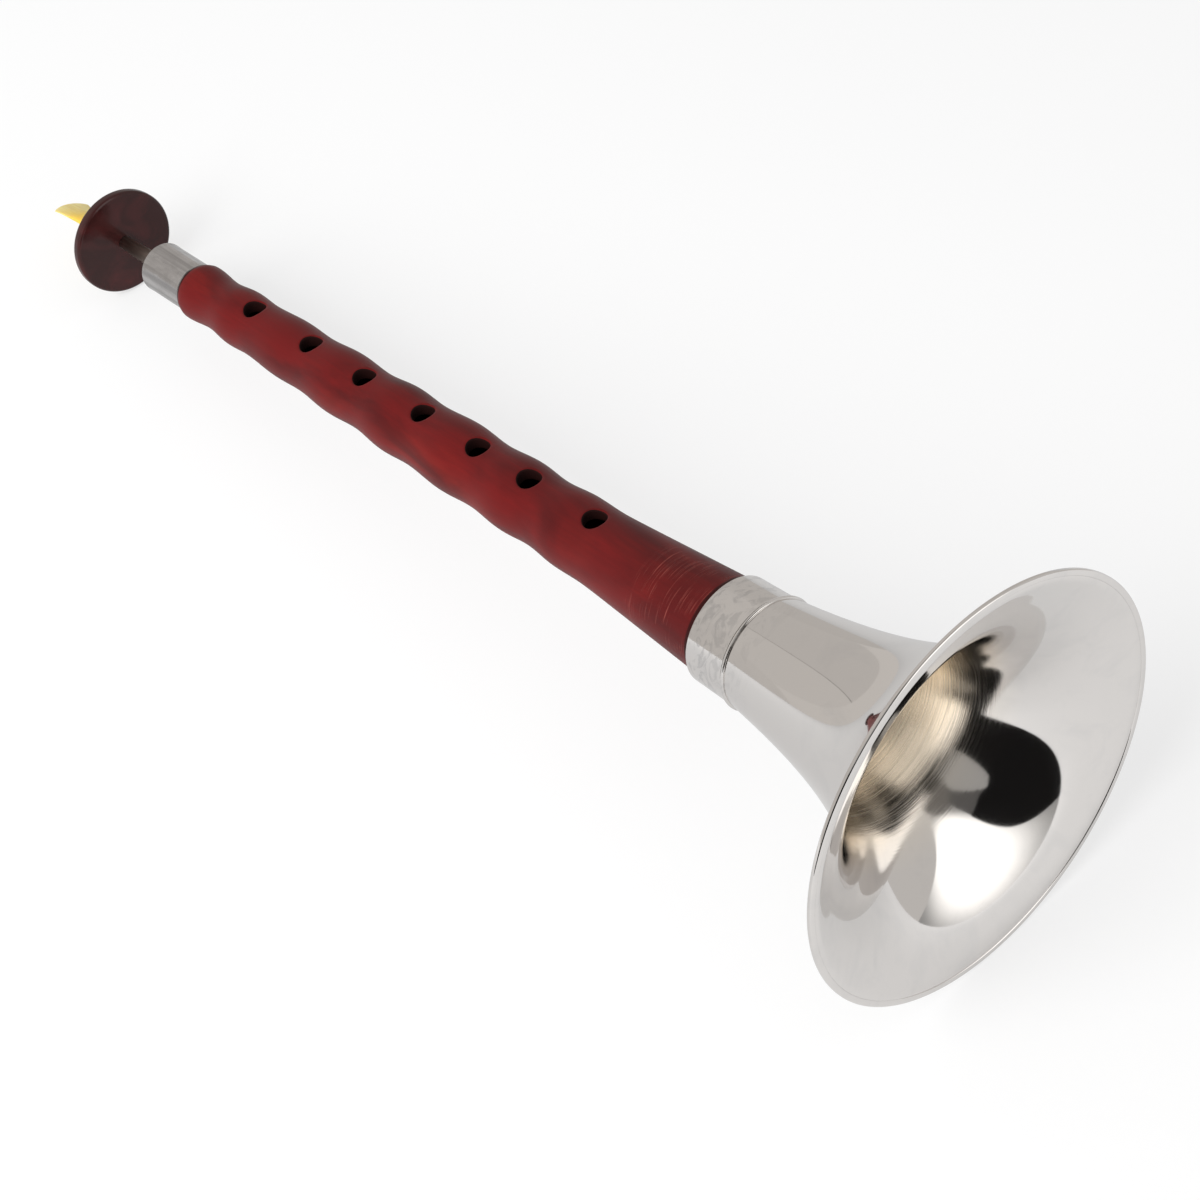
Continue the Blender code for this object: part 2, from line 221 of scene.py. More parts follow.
def nickelMaterial(name, inside):
    look = nickelLook
    material, tree, shader = newMaterial(name, look["colour"], look["roughness"], 1.0)
    place = axisSpace(tree)
    x, y, z = splitPlace(tree, place)
    reach = squareRootOfSquares(tree, x, y)
    smudge = noise(tree, stretched(tree, place, 90.0, 60.0), 1.0, 4.0, 0.6, 0.6)
    smudgeMask = ramp(tree, smudge, [(0.48, 0.0), (0.72, 1.0)])
    colour = blendColours(tree, smudgeMask, look["colour"], look["smudgeColour"])
    roughness = calc(tree, "MULTIPLY_ADD", smudgeMask, look["smudgeRoughness"], look["roughness"])
    # Spun lines: fine rings that differ slightly round the axis
    along = calc(tree, "SUBTRACT", z, reach)
    ringSpace = addNode(tree, "ShaderNodeCombineXYZ", {
        "X": calc(tree, "MULTIPLY", x, look["lineAcross"]),
        "Y": calc(tree, "MULTIPLY", y, look["lineAcross"]),
        "Z": calc(tree, "MULTIPLY", along, look["lineAlong"])}).outputs[0]
    lines = noise(tree, ringSpace, 1.0, 3.0, 0.65)
    if inside:
        # The throat is browner, rougher and more deeply ringed than the flare
        throat = mapRange(tree, z, look["throatFrom"], look["throatTo"])
        scratch = ramp(tree, lines, [(0.42, 0.0), (0.66, 1.0)])
        colour = blendColours(tree, throat, colour, look["throatColour"])
        rougher = calc(tree, "MULTIPLY_ADD", scratch, look["scratchRoughness"], look["throatRoughness"])
        roughness = calc(tree, "ADD", roughness, calc(tree, "MULTIPLY", throat, rougher))
        deep = mapRange(tree, z, look["deepFrom"], look["deepTo"])
        roughness = calc(tree, "MULTIPLY_ADD", deep, look["deepRoughness"], roughness)
        depth = calc(tree, "MULTIPLY_ADD", throat, look["throatDepth"], look["outerDepth"])
        addBump(tree, shader, calc(tree, "MULTIPLY", lines, depth), look["lineDepth"])
    else:
        addBump(tree, shader, lines, look["lineDepth"] * look["outerDepth"])
        # Handling stains on the sleeve and the neck
        zone = mapRange(tree, z, look["stainFrom"], look["stainTo"])
        stain = noise(tree, stretched(tree, place, 130.0, 260.0), 1.0, 5.0, 0.62, 1.6)
        stain = calc(tree, "MULTIPLY", ramp(tree, stain, [(0.50, 0.0), (0.60, 1.0)]), zone)
        colour = blendColours(tree, calc(tree, "MULTIPLY", stain, look["stainAmount"]),
                              colour, look["stainColour"])
        roughness = calc(tree, "MULTIPLY_ADD", stain, look["stainRoughness"], roughness)
    tree.links.new(colour, shader.inputs["Base Color"])
    tree.links.new(roughness, shader.inputs["Roughness"])
    return material


nickelOuter = nickelMaterial("polishedNickel", False)
nickelInner = nickelMaterial("spunNickel", True)

bell = dict(
    mouthRadius=0.0620, neckRadius=0.0168, length=0.0774, exponent=0.62, sheet=0.0006,
    rimWidth=0.0019, rimDepth=0.0013, rimRounding=0.0004, rimStep=0.00025, seam=0.0003,
    settle=0.00038, settleFrom=0.0608, settleReach=0.0085,
    beadWidth=0.0012, beadHeight=0.00065, sleeveLength=0.0148, sleeveRadius=0.01645,
    sides=192, steps=90)
bellOrigin = bell["length"] / ((bell["mouthRadius"] / bell["neckRadius"]) ** (1 / bell["exponent"]) - 1)
sleeveEnd = bell["length"] + bell["sleeveLength"]


def hornStation(radius):
    return bellOrigin * ((bell["mouthRadius"] / radius) ** (1 / bell["exponent"]) - 1)


def hornSkins():
    # Outer and inner side of the flare, from the neck to the rim
    outer = []
    inner = []
    widest = bell["mouthRadius"] - bell["rimWidth"] * 0.55
    for step in range(bell["steps"] + 1):
        radius = bell["neckRadius"] * (widest / bell["neckRadius"]) ** (step / bell["steps"])
        slope = -(hornStation(radius) + bellOrigin) / (bell["exponent"] * radius)
        length = hypot(1.0, slope)
        station = hornStation(radius)
        outer.append((radius * snug, station))
        # Next to the rim the inner skin opens a little less than the outer one
        settled = min(max((bell["settleFrom"] - radius) / bell["settleReach"], 0.0), 1.0)
        innerStation = station - bell["sheet"] / length + bell["settle"] * smoothStep(settled)
        inner.append(((radius + bell["sheet"] * slope / length) * snug, max(innerStation, bell["rimStep"])))
    inner[0] = ((bell["neckRadius"] - bell["sheet"]) * snug, outer[0][1])
    return outer, inner


def buildBell():
    outer, inner = hornSkins()
    neckLine = len(outer)
    horn = turnPiece("bellHorn", outer + inner[::-1], bell["sides"], [nickelOuter, nickelInner],
                     lambda ring: 1 if ring >= neckLine else 0)
    dressNode(horn, "bell", "nickel", "bell_flare")

    wide = (bell["mouthRadius"] - bell["rimRounding"]) * snug
    narrow = (bell["mouthRadius"] - bell["rimWidth"] + bell["rimRounding"]) * snug
    back = bell["rimDepth"] - bell["rimRounding"]
    front = bell["rimRounding"]
    outline = roundedCorner(wide, back, bell["rimRounding"], pi / 2, 0.0)
    outline += roundedCorner(wide, front, bell["rimRounding"], 0.0, -pi / 2)
    outline += roundedCorner(narrow, front, bell["rimRounding"], -pi / 2, -pi)
    outline += roundedCorner(narrow, back, bell["rimRounding"], pi, pi / 2)
    rim = turnPiece("bellRim", outline, bell["sides"], [nickelOuter])
    dressNode(rim, "bell", "nickel", "bell_rim")

    middle = bell["length"]
    half = bell["beadWidth"] / 2
    floor = (bell["neckRadius"] - bell["sheet"]) * snug
    neck = bell["neckRadius"] * snug
    outline = [(floor, middle + half), (neck, middle + half)]
    outline += roundedCorner(neck, middle, half, pi / 2, -pi / 2, 10)[1:-1]
    outline = [(neck + (radius - neck) * bell["beadHeight"] / half if radius > neck else radius, station)
               for radius, station in outline]
    outline += [(neck, middle - half), (floor, middle - half)]
    bead = turnPiece("bellBead", outline, bell["sides"], [nickelOuter])
    dressNode(bead, "bell", "nickel", "bell_bead")

    lower = middle + half + bell["seam"]
    top = bell["sleeveRadius"] * snug
    lip = bell["sheet"] * 0.4
    outline = [(top - bell["sheet"], sleeveEnd - lip)]
    outline += [(top - bell["sheet"] + lip, sleeveEnd), (top - lip, sleeveEnd), (top, sleeveEnd - lip)]
    outline += between((top, sleeveEnd - lip), (neck, lower), 8)
    outline += [(floor, lower)]
    sleeve = turnPiece("bellSleeve", outline, bell["sides"], [nickelOuter, nickelInner],
                       lambda ring: 1 if ring >= len(outline) - 1 else 0)
    dressNode(sleeve, "bell", "nickel", "bell_sleeve")


buildBell()
print("bell built")


# Red hardwood of the pipe

woodLook = dict(
    colour=(0.128, 0.0078, 0.0080), dark=(0.046, 0.0062, 0.0068), warm=(0.185, 0.0125, 0.0095),
    roughness=0.42, specular=0.16, specularTint=(1.0, 0.50, 0.46), darkFrom=0.135, darkTo=0.100,
    figureAcross=60.0, figureAlong=22.0, grainAcross=900.0, grainAlong=26.0, poreDepth=0.00003,
    patchAmount=0.65, streakAmount=0.28, darkAmount=0.42, sheenSpread=0.16, sheenShift=0.08,
    markDepth=0.00006, markTo=0.118, markFade=0.004, markAmount=0.32, markColour=(0.50, 0.13, 0.10),
    # The last three values set the painted shade where the wood meets the metal
    endRing=0.0011, endShadeAmount=0.85, endShadeColour=(0.012, 0.003, 0.003))


def woodMaterial():
    look = woodLook
    material, tree, shader = newMaterial("redHardwood", look["colour"], look["roughness"])
    place = axisSpace(tree)
    z = splitPlace(tree, place)["Z"]
    figurePlace = stretched(tree, place, look["figureAcross"], look["figureAlong"])
    figure = noise(tree, figurePlace, 1.0, 3.0, 0.55, 0.9)
    grainPlace = stretched(tree, place, look["grainAcross"], look["grainAlong"])
    grain = noise(tree, grainPlace, 1.0, 4.0, 0.6, 0.2)
    patches = ramp(tree, figure, [(0.44, 0.0), (0.66, 1.0)])
    glow = noise(tree, stretched(tree, place, 55.0, 24.0), 1.0, 2.0, 0.5, 0.4)
    colour = blendColours(tree, ramp(tree, glow, [(0.50, 0.0), (0.74, 0.75)]), look["colour"], look["warm"])
    gaps = calc(tree, "SUBTRACT", 1.0, ramp(tree, grain, [(0.30, 0.0), (0.70, 1.0)]))
    nearBell = mapRange(tree, z, look["darkFrom"], look["darkTo"])
    for mask, amount in ((patches, "patchAmount"), (gaps, "streakAmount"), (nearBell, "darkAmount")):
        colour = blendColours(tree, calc(tree, "MULTIPLY", mask, look[amount]), colour, look["dark"])
    # Lathe marks near the bell: broken rings
    marks = noise(tree, stretched(tree, place, 52.0, 3600.0), 1.0, 2.0, 0.6)
    broken = noise(tree, stretched(tree, place, 110.0, 110.0), 1.0, 2.0, 0.5)
    zone = mapRange(tree, z, look["markTo"] + look["markFade"], look["markTo"] - look["markFade"])
    ring = calc(tree, "MULTIPLY", ramp(tree, marks, [(0.58, 0.0), (0.66, 1.0)]), zone)
    ring = calc(tree, "MULTIPLY", ring, ramp(tree, broken, [(0.44, 0.0), (0.58, 1.0)]))
    colour = blendColours(tree, calc(tree, "MULTIPLY", ring, look["markAmount"]), colour, look["markColour"])
    # Painted shade: the turned ends are darkened where the wood meets the metal, standing in for the shade in
    # the crevice between them
    end = look["endRing"]
    upperEnd = mapRange(tree, z, pipe["shoulder"] - end * 1.7, pipe["shoulder"] - end * 1.2)
    lowerEnd = mapRange(tree, z, sleeveEnd + end * 2.2, sleeveEnd + end * 1.7)
    ends = calc(tree, "MAXIMUM", upperEnd, lowerEnd)
    colour = blendColours(tree, calc(tree, "MULTIPLY", ends, look["endShadeAmount"]), colour, look["endShadeColour"])
    tree.links.new(colour, shader.inputs["Base Color"])
    sheen = calc(tree, "MULTIPLY_ADD", grain, look["sheenSpread"], look["roughness"] - look["sheenShift"])
    tree.links.new(sheen, shader.inputs["Roughness"])
    shader.inputs["Specular IOR Level"].default_value = look["specular"]
    shader.inputs["Specular Tint"].default_value = (*look["specularTint"], 1.0)
    under = addBump(tree, shader, grain, look["poreDepth"])
    addBump(tree, shader, calc(tree, "SUBTRACT", 1.0, ring), look["markDepth"], 1.0, under)
    return material


pipe = dict(
    shoulder=0.3480, foot=0.0622, head=0.3685, headRadius=0.0090, headRounding=0.0007,
    headTenon=0.00765, footTenon=0.0142, footShoulder=0.0150, tenonStep=0.0010,
    boreFoot=0.0098, socketRadius=0.0049, socketFloor=0.3364, flankSoftness=0.07,
    holeRadius=0.0035, thumbRadius=0.0034, holeEdge=0.0008, sides=96, spacing=0.001,
    windowAlong=6, windowAcross=10, windowRings=5,
    swells=((0.0030, 0.00974), (0.0270, 0.00981), (0.0540, 0.01015), (0.0820, 0.01072),
            (0.1110, 0.01119), (0.1395, 0.01153), (0.1680, 0.01166), (0.1935, 0.01186)),
    waists=((0.0150, 0.00878), (0.0365, 0.00933), (0.0660, 0.00972), (0.0960, 0.01001),
            (0.1230, 0.01057), (0.1535, 0.01071), (0.1800, 0.01092), (0.2030, 0.01170)),
    fingerHoles=(0.0363, 0.0673, 0.0952, 0.1247, 0.1509, 0.1745, 0.2033), thumbHole=0.0515)
# The bore and the hole walls are bare dark wood, painted near black as well for the shade inside them
boreShadeLook = dict(colour=(0.014, 0.0045, 0.004), roughness=0.8, specular=0.08)
redHardwood = woodMaterial()
boreWoodAndShade, boreTree, boreShader = newMaterial("boreWoodAndShade", boreShadeLook["colour"], boreShadeLook["roughness"])
boreShader.inputs["Specular IOR Level"].default_value = boreShadeLook["specular"]
pipeExtremes = [(0.0, pipe["headRadius"])] + sorted(pipe["swells"] + pipe["waists"])


def pipeRadius(station):
    # Turned side of the wood, from the ferrule's shoulder to the sleeve
    distance = pipe["shoulder"] - station
    last, lastRadius = pipeExtremes[-1]
    if distance >= last:
        fraction = (distance - last) / (pipe["shoulder"] - last - sleeveEnd)
        soft = pipe["flankSoftness"]
        rise = (sqrt(fraction ** 2 + soft ** 2) - soft) / (sqrt(1 + soft ** 2) - soft)
        return lastRadius + (pipe["footShoulder"] - lastRadius) * rise
    for (start, startRadius), (end, endRadius) in zip(pipeExtremes, pipeExtremes[1:]):
        if distance <= end:
            return startRadius + (endRadius - startRadius) * smoothStep((distance - start) / (end - start))
    return lastRadius


def boreRadius(station):
    fraction = (station - pipe["foot"]) / (pipe["socketFloor"] - pipe["foot"])
    return pipe["boreFoot"] + (pipe["socketRadius"] - pipe["boreFoot"]) * min(max(fraction, 0.0), 1.0)


def buildPipe():
    sides = pipe["sides"]
    holes = [(pipe["shoulder"] - distance, pipe["holeRadius"], 0) for distance in pipe["fingerHoles"]]
    holes.append((pipe["shoulder"] - pipe["thumbHole"], pipe["thumbRadius"], sides // 2))
    # Stations of the wood between the two tenons; a hole always sits in the middle of its window
    top = pipe["shoulder"] - pipe["headRounding"]
    steps = round((top - sleeveEnd) / pipe["spacing"])
    stations = [top + (sleeveEnd - top) * step / steps for step in range(steps + 1)]
    edge = pipe["headRounding"]
    rounded = roundedCorner(pipe["headRadius"] - edge, top, edge, pi / 2, 0.0, 5)
    outerHead = [(pipe["headTenon"], pipe["head"]), (pipe["headTenon"], pipe["shoulder"])] + rounded[:-1]
    outerFoot = [(pipe["footTenon"], sleeveEnd - pipe["tenonStep"]), (pipe["footTenon"], pipe["foot"])]
    outer = [(radius * snug, station) for radius, station in outerHead]
    firstOuter = len(outer)
    outer += [(pipeRadius(station) * snug, station) for station in stations]
    outer += [(radius * snug, station) for radius, station in outerFoot]
    inner = [(pipe["socketRadius"], pipe["head"]), (pipe["socketRadius"], pipe["shoulder"])]
    firstInner = len(inner)
    inner += [(boreRadius(station), station) for station in stations]
    inner += [(boreRadius(pipe["foot"]), pipe["foot"])]

    points = []
    faces = []
    faceMaterial = []
    skins = []
    for outline, first in ((outer, firstOuter), (inner, firstInner)):
        skins.append((len(points), first))
        for radius, station in outline:
            points += [(radius * cos(2 * pi * side / sides), radius * sin(2 * pi * side / sides), station)
                       for side in range(sides)]

    def quad(a, b, c, d, flip, material):
        faces.append((d, c, b, a) if flip else (a, b, c, d))
        faceMaterial.append(material)

    # Windows are the grid cells around each hole: (first row, last row, first column, last column)
    windows = []
    for station, radius, column in holes:
        row = min(range(len(stations)), key=lambda index: abs(stations[index] - station))
        windows.append((row - pipe["windowAlong"], row + pipe["windowAlong"],
                        column - pipe["windowAcross"], column + pipe["windowAcross"]))

    def inWindow(row, side):
        for top, bottom, left, right in windows:
            if top <= row < bottom and (side - left) % sides < right - left:
                return True
        return False

    for skin, (outline, (base, first)) in enumerate(zip((outer, inner), skins)):
        for ring in range(len(outline) - 1):
            for side in range(sides):
                if inWindow(ring - first, side):
                    continue
                across = (side + 1) % sides
                quad(base + ring * sides + side, base + ring * sides + across,
                     base + (ring + 1) * sides + across, base + (ring + 1) * sides + side,
                     skin == 0, 0 if skin == 0 and ring >= 1 else skin)
    for end in (0, -1):
        outerRow = skins[0][0] + (len(outer) - 1 if end else 0) * sides
        innerRow = skins[1][0] + (len(inner) - 1 if end else 0) * sides
        for side in range(sides):
            across = (side + 1) % sides
            quad(outerRow + side, outerRow + across, innerRow + across, innerRow + side, end == -1, 0)

    # Each window is filled by rings that close in on the hole, then the hole's edge and wall
    for (station, holeRadius, column), (top, bottom, left, right) in zip(holes, windows):
        way = -1 if column else 1
        loops = []
        for skin, radiusAt in ((0, lambda s: pipeRadius(s) * snug), (1, boreRadius)):
            base, first = skins[skin]
            cells = [(row, left) for row in range(top, bottom)]
            cells += [(bottom, col) for col in range(left, right)]
            cells += [(row, right) for row in range(bottom, top, -1)]
            cells += [(top, col) for col in range(right, left, -1)]
            loop = [base + (first + row) * sides + col % sides for row, col in cells]
            places = [(points[index][1], points[index][2] - station) for index in loop]
            turns = [atan2(up, side) for side, up in places]
            mouth = holeRadius + (pipe["holeEdge"] if skin == 0 else 0.0)

            def surface(side, up):
                return sqrt(max(radiusAt(station + up) ** 2 - side ** 2, 0.0))

            rings = [loop]
            for step in range(1, pipe["windowRings"] + 1):
                share = (step / pipe["windowRings"]) ** 0.8
                ring = []
                for (side, up), turn in zip(places, turns):
                    newSide = side + (mouth * cos(turn) - side) * share
                    newUp = up + (mouth * sin(turn) - up) * share
                    ring.append(len(points))
                    points.append((way * surface(newSide, newUp), newSide, station + newUp))
                rings.append(ring)
            if skin == 0:
                for step in range(1, 6):
                    bend = pi / 2 * step / 5
                    reach = holeRadius + pipe["holeEdge"] * (1 - sin(bend))
                    ring = []
                    for turn in turns:
                        brink = surface(mouth * cos(turn), mouth * sin(turn))
                        ring.append(len(points))
                        points.append((way * (brink - pipe["holeEdge"] * (1 - cos(bend))),
                                       reach * cos(turn), station + reach * sin(turn)))
                    rings.append(ring)
            # The last rings of each hole's rounded edge take the bore's material: painted shade on the rim of
            # the hole
            for ringIndex, (wide, tight) in enumerate(zip(rings, rings[1:])):
                for index in range(len(wide)):
                    following = (index + 1) % len(wide)
                    quad(wide[index], wide[following], tight[following], tight[index],
                         (skin == 0) == (way == 1), 1 if skin or ringIndex > pipe["windowRings"] + 1 else 0)
            loops.append(rings[-1])
        upperLoop, lowerLoop = loops
        for index in range(len(upperLoop)):
            following = (index + 1) % len(upperLoop)
            quad(upperLoop[index], upperLoop[following], lowerLoop[following], lowerLoop[index], way == 1, 1)

    piece = makePiece("woodPipe", points, faces, [redHardwood, boreWoodAndShade], faceMaterial, 40.0)
    dressNode(piece, "pipe", "wood", "pipe")


buildPipe()
print("pipe built")


# Waxed thread on the foot of the pipe and on the staple

threadLook = dict(
    colour=(0.60, 0.47, 0.27), dark=(0.33, 0.22, 0.11), roughness=0.72, sheen=0.15, fibreDepth=0.00006)


def threadMaterial():
    look = threadLook
    material, tree, shader = newMaterial("waxedThread", look["colour"], look["roughness"])
    place = axisSpace(tree)
    fibres = noise(tree, stretched(tree, place, 700.0, 1500.0), 1.0, 3.0, 0.6, 0.5)
    stain = noise(tree, stretched(tree, place, 70.0, 40.0), 1.0, 3.0, 0.5)
    colour = blendColours(tree, ramp(tree, fibres, [(0.35, 0.5), (0.65, 0.0)]), look["colour"], look["dark"])
    colour = blendColours(tree, ramp(tree, stain, [(0.5, 0.0), (0.75, 0.6)]), colour, look["dark"])
    tree.links.new(colour, shader.inputs["Base Color"])
    shader.inputs["Sheen Weight"].default_value = look["sheen"]
    addBump(tree, shader, fibres, look["fibreDepth"])
    return material


waxedThread = threadMaterial()
windings = dict(
    foot=dict(upper=sleeveEnd - 0.0060, length=0.0180, turns=26, radius=0.01555,
              floor=(0.0145, 0.0145), sides=144),
    staple=dict(upper=0.3654, length=0.0240, turns=40, radius=0.0046,
                floor=(0.00336, 0.00400), sides=72),
    thread=0.00045, pointsPerTurn=8)


def windThread(name, body, node, size):
    # A band of thread laid side by side: the ridges climb one pitch in each turn
    lower = size["upper"] - size["length"]
    rows = size["turns"] * windings["pointsPerTurn"]
    pitch = size["length"] / size["turns"]
    depth = windings["thread"] * 0.5
    points = []
    faces = []
    sides = size["sides"]
    for row in range(rows + 1):
        station = size["upper"] - size["length"] * row / rows
        fade = min(1.0, row / rows * size["turns"], (rows - row) / rows * size["turns"])
        for side in range(sides):
            phase = station / pitch + side / sides
            ridge = abs(sin(pi * phase)) ** 0.6
            radius = size["radius"] * snug - depth * (1 - ridge * fade)
            angle = 2 * pi * side / sides
            points.append((radius * cos(angle), radius * sin(angle), station))
    for station, radius in ((lower, size["floor"][1]), (size["upper"], size["floor"][0])):
        points += [(radius * cos(2 * pi * side / sides), radius * sin(2 * pi * side / sides), station)
                   for side in range(sides)]
    count = rows + 3
    for row in range(count):
        following = (row + 1) % count
        for side in range(sides):
            across = (side + 1) % sides
            faces.append((following * sides + side, following * sides + across,
                          row * sides + across, row * sides + side))
    piece = makePiece(name, points, faces, [waxedThread], None, 60.0)
    dressNode(piece, body, "thread", node)


windThread("footThread", "pipe", "foot_winding", windings["foot"])
windThread("stapleThread", "staple", "staple_winding", windings["staple"])
print("threads wound")


# Satin steel of the ferrule and the staple

steelLook = dict(
    colour=(0.56, 0.545, 0.54), dark=(0.30, 0.29, 0.285), roughness=0.16,
    stapleColour=(0.44, 0.39, 0.35), stapleDark=(0.24, 0.18, 0.15), stapleRoughness=0.33,
    grainSpread=0.18, grainShift=0.09, cloudRoughness=0.05, grainDepth=0.000006,
    dentDepth=0.00022, dentStrength=0.35)


def steelMaterial(name, colour, dark, roughness):
    look = steelLook
    material, tree, shader = newMaterial(name, colour, roughness, 1.0)
    place = axisSpace(tree)
    drawn = noise(tree, stretched(tree, place, 900.0, 40.0), 1.0, 4.0, 0.65)
    cloud = noise(tree, stretched(tree, place, 160.0, 110.0), 1.0, 3.0, 0.55, 0.5)
    tint = blendColours(tree, ramp(tree, cloud, [(0.45, 0.0), (0.75, 0.55)]), colour, dark)
    # Painted reflection: broad bands along the axis darken the colour, standing in for dark panels mirrored
    # along the tube
    paintedReflectionBands = noise(tree, stretched(tree, place, 330.0, 9.0), 1.0, 2.0, 0.5, 0.15)
    tint = blendColours(tree, ramp(tree, paintedReflectionBands, [(0.40, 0.75), (0.58, 0.0)]), tint, dark)
    tint = blendColours(tree, ramp(tree, drawn, [(0.35, 0.25), (0.6, 0.0)]), tint, dark)
    tree.links.new(tint, shader.inputs["Base Color"])
    rough = calc(tree, "ADD",
                 calc(tree, "MULTIPLY_ADD", drawn, look["grainSpread"], roughness - look["grainShift"]),
                 calc(tree, "MULTIPLY", cloud, look["cloudRoughness"]))
    tree.links.new(rough, shader.inputs["Roughness"])
    dents = noise(tree, stretched(tree, place, 260.0, 200.0), 1.0, 1.0, 0.4)
    dents = ramp(tree, dents, [(0.30, 0.0), (0.42, 1.0)])
    under = addBump(tree, shader, dents, look["dentDepth"], look["dentStrength"])
    addBump(tree, shader, drawn, look["grainDepth"], 1.0, under)
    return material


satinSteel = steelMaterial("satinSteel", steelLook["colour"], steelLook["dark"], steelLook["roughness"])
stapleMetal = steelMaterial(
    "stapleMetal", steelLook["stapleColour"], steelLook["stapleDark"], steelLook["stapleRoughness"])

ferrule = dict(
    foot=0.3483, end=0.3694, radius=0.00855, lipRadius=0.00866, wall=0.0006, lipLength=0.0024,
    hole=0.0052, rounding=0.00022, sides=120)
staple = dict(foot=0.3340, tip=0.4085, footRadius=0.0039, tipRadius=0.0019, wall=0.0005, sides=72)


def buildMetalParts():
    spread = ferrule["lipRadius"] * snug
    body = ferrule["radius"] * snug
    inner = body - ferrule["wall"]
    rounding = ferrule["rounding"]
    outline = [(ferrule["hole"], ferrule["end"])]
    outline += roundedCorner(spread - rounding, ferrule["end"] - rounding, rounding, pi / 2, 0.0)
    bend = 12
    for step in range(1, bend + 1):
        share = step / bend
        outline.append((spread + (body - spread) * smoothStep(share),
                        ferrule["end"] - rounding - (ferrule["lipLength"] - rounding) * share))
    outline += between(outline[-1], (body, ferrule["foot"] + rounding), 10)
    ceiling = ferrule["end"] - ferrule["wall"]
    outline += [(body - rounding, ferrule["foot"]), (inner, ferrule["foot"]),
                (inner, ceiling), (ferrule["hole"], ceiling)]
    piece = turnPiece("steelFerrule", outline, ferrule["sides"], [satinSteel])
    dressNode(piece, "pipe", "steel", "ferrule")

    outline = [(staple["tipRadius"] - staple["wall"], staple["tip"]), (staple["tipRadius"], staple["tip"])]
    outline += between(outline[-1], (staple["footRadius"], staple["foot"]), 30)
    outline.append((staple["footRadius"] - staple["wall"], staple["foot"]))
    outline += between(outline[-1], outline[0], 10)[:-1]
    piece = turnPiece("staple", outline, staple["sides"], [stapleMetal])
    dressNode(piece, "staple", "steel", "staple")


buildMetalParts()
print("ferrule and staple built")


# Glossy dark lip disc

discLook = dict(
    colour=(0.032, 0.0090, 0.0085), swirl=(0.060, 0.0125, 0.0125), roughness=0.11, specular=0.34,
    wearSpread=0.14, wearShift=0.06, rippleDepth=0.00006, rippleStrength=0.4)


def discMaterial():
    look = discLook
    material, tree, shader = newMaterial("darkPlastic", look["colour"], look["roughness"])
    place = axisSpace(tree)
    swirl = noise(tree, stretched(tree, place, 70.0, 70.0), 1.0, 3.0, 0.5, 1.4)
    colour = blendColours(tree, ramp(tree, swirl, [(0.42, 0.0), (0.70, 1.0)]), look["colour"], look["swirl"])
    tree.links.new(colour, shader.inputs["Base Color"])
    wear = noise(tree, stretched(tree, place, 300.0, 300.0), 1.0, 4.0, 0.6)
    worn = calc(tree, "MULTIPLY_ADD", wear, look["wearSpread"], look["roughness"] - look["wearShift"])
    tree.links.new(worn, shader.inputs["Roughness"])
    shader.inputs["Specular IOR Level"].default_value = look["specular"]
    ripple = noise(tree, stretched(tree, place, 110.0, 110.0), 1.0, 1.0, 0.4)
    addBump(tree, shader, ripple, look["rippleDepth"], look["rippleStrength"])
    return material


darkPlastic = discMaterial()
disc = dict(lower=0.3932, thickness=0.0038, radius=0.01847, rounding=0.0012, hole=0.00242, sides=160)


def buildDisc():
    lower = disc["lower"]
    upper = lower + disc["thickness"]
    reach = disc["radius"] * snug - disc["rounding"]
    edge = disc["rounding"]
    outline = [(disc["hole"], upper)]
    outline += between((disc["hole"], upper), (reach, upper), 8)[:-1]
    outline += roundedCorner(reach, upper - edge, edge, pi / 2, 0.0, 8)
    outline += roundedCorner(reach, lower + edge, edge, 0.0, -pi / 2, 8)
    outline += between((reach, lower), (disc["hole"], lower), 8)
    piece = turnPiece("lipDisc", outline, disc["sides"], [darkPlastic])
    dressNode(piece, "lip_disc", "dark_plastic", "lip_disc")


buildDisc()
print("lip disc built")


# Cane reed and its binding wire

caneLook = dict(
    root=(0.78, 0.42, 0.030), middle=(0.84, 0.56, 0.085), tip=(0.90, 0.76, 0.33), fibre=(0.62, 0.36, 0.04),
    roughness=0.42, fibreDepth=0.00004, blotchAmount=0.3,
    glow=0.25, glowRadius=(0.8, 0.5, 0.15), glowScale=0.002)


def caneMaterial():
    look = caneLook
    material, tree, shader = newMaterial("scrapedCane", look["middle"], look["roughness"])
    place = axisSpace(tree)
    rise = mapRange(tree, splitPlace(tree, place)["Z"], reed["root"], reed["root"] + reed["length"])
    blotch = noise(tree, stretched(tree, place, 220.0, 120.0), 1.0, 3.0, 0.5)
    shift = calc(tree, "MULTIPLY_ADD", blotch, look["blotchAmount"], -look["blotchAmount"] / 2)
    rise = calc(tree, "ADD", rise, shift)
    colour = ramp(tree, rise, [(0.25, look["root"]), (0.60, look["middle"]), (0.95, look["tip"])])
    fibres = noise(tree, stretched(tree, place, 2600.0, 60.0), 1.0, 3.0, 0.6)
    colour = blendColours(tree, ramp(tree, fibres, [(0.35, 0.35), (0.6, 0.0)]), colour, look["fibre"])
    tree.links.new(colour, shader.inputs["Base Color"])
    addBump(tree, shader, fibres, look["fibreDepth"])
    shader.inputs["Subsurface Weight"].default_value = look["glow"]
    shader.inputs["Subsurface Radius"].default_value = look["glowRadius"]
    shader.inputs["Subsurface Scale"].default_value = look["glowScale"]
    return material


